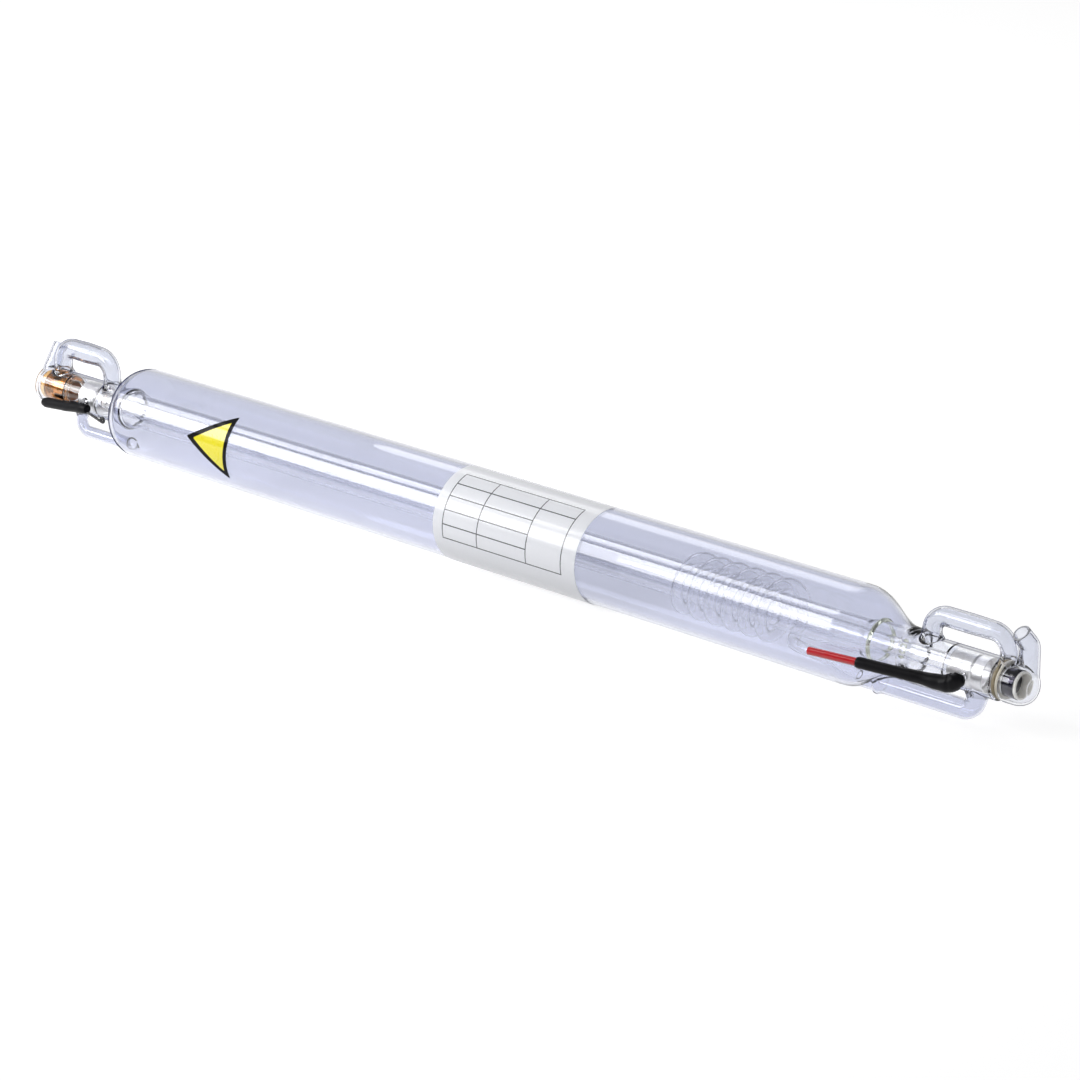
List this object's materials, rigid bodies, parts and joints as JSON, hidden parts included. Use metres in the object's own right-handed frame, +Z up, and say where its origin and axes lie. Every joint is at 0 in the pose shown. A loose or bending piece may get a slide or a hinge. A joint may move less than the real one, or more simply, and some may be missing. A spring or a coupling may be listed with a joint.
{
  "type": "sealed gas laser tube",
  "caption": "Long sealed glass carbon dioxide laser tube with round electrode chambers, water bridges, hose stubs, a coiled gas return, a blank label and short leads.",
  "frame": {"origin": "on the surface the tube lies on, under its axis, halfway between the front of the output cap and the tip of the rear cap", "axes": "+X along the beam from the output mirror to the rear mirror, +Z up, -Y on the side of the two electrical leads"},
  "size_m": [0.694, 0.0577, 0.0555],
  "materials": {
    "borosilicate_glass": "clear, faint lavender tint",
    "seam_glass": "clear, faint yellow-green tint",
    "electrode_metal": "bright rolled sheet",
    "pin_metal": "drawn wire",
    "copper": "turned, copper coloured",
    "coupler_crystal": "polished, amber",
    "brown_resin": "cured resin",
    "beige_resin": "cured resin",
    "mirror_face": "polished, dark coated",
    "mirror_cell": "smooth, off-white",
    "label_paper": "satin printed paper",
    "sticker_film": "gloss film",
    "heat_shrink": "satin black",
    "tail_wire": "dark oxidised",
    "red_silicone": "gloss"
  },
  "bodies": {
    "root": {"outer_jacket": "borosilicate_glass", "water_jacket": "borosilicate_glass", "discharge_tube": "borosilicate_glass", "gas_return_coil": "borosilicate_glass", "output_seam_ring": "borosilicate_glass", "rear_seam_ring": "seam_glass", "cathode_chamber": "borosilicate_glass", "anode_chamber": "borosilicate_glass", "cathode_cylinder": "electrode_metal", "anode_cylinder": "electrode_metal", "cathode_pin": "pin_metal", "cathode_pin_bead": "borosilicate_glass", "anode_pin": "pin_metal", "anode_pin_bead": "borosilicate_glass", "output_cap": "borosilicate_glass", "coupler_retainer": "copper", "output_coupler": "coupler_crystal", "output_mirror_holder": "copper", "rear_cap": "borosilicate_glass", "rear_seal_inner": "brown_resin", "rear_seal_outer": "beige_resin", "total_reflector": "mirror_face", "reflector_cell": "mirror_cell", "output_water_bridge": "borosilicate_glass", "rear_water_bridge": "borosilicate_glass", "output_hose_stub": "borosilicate_glass", "rear_hose_stub": "borosilicate_glass", "cathode_gas_link": "borosilicate_glass", "anode_gas_link": "borosilicate_glass", "label": "label_paper", "triangle_sticker": "sticker_film", "anode_sleeve": "heat_shrink", "cathode_sleeve": "heat_shrink", "cathode_tail": "tail_wire", "hv_lead": "red_silicone"}
  },
  "joints": []
}
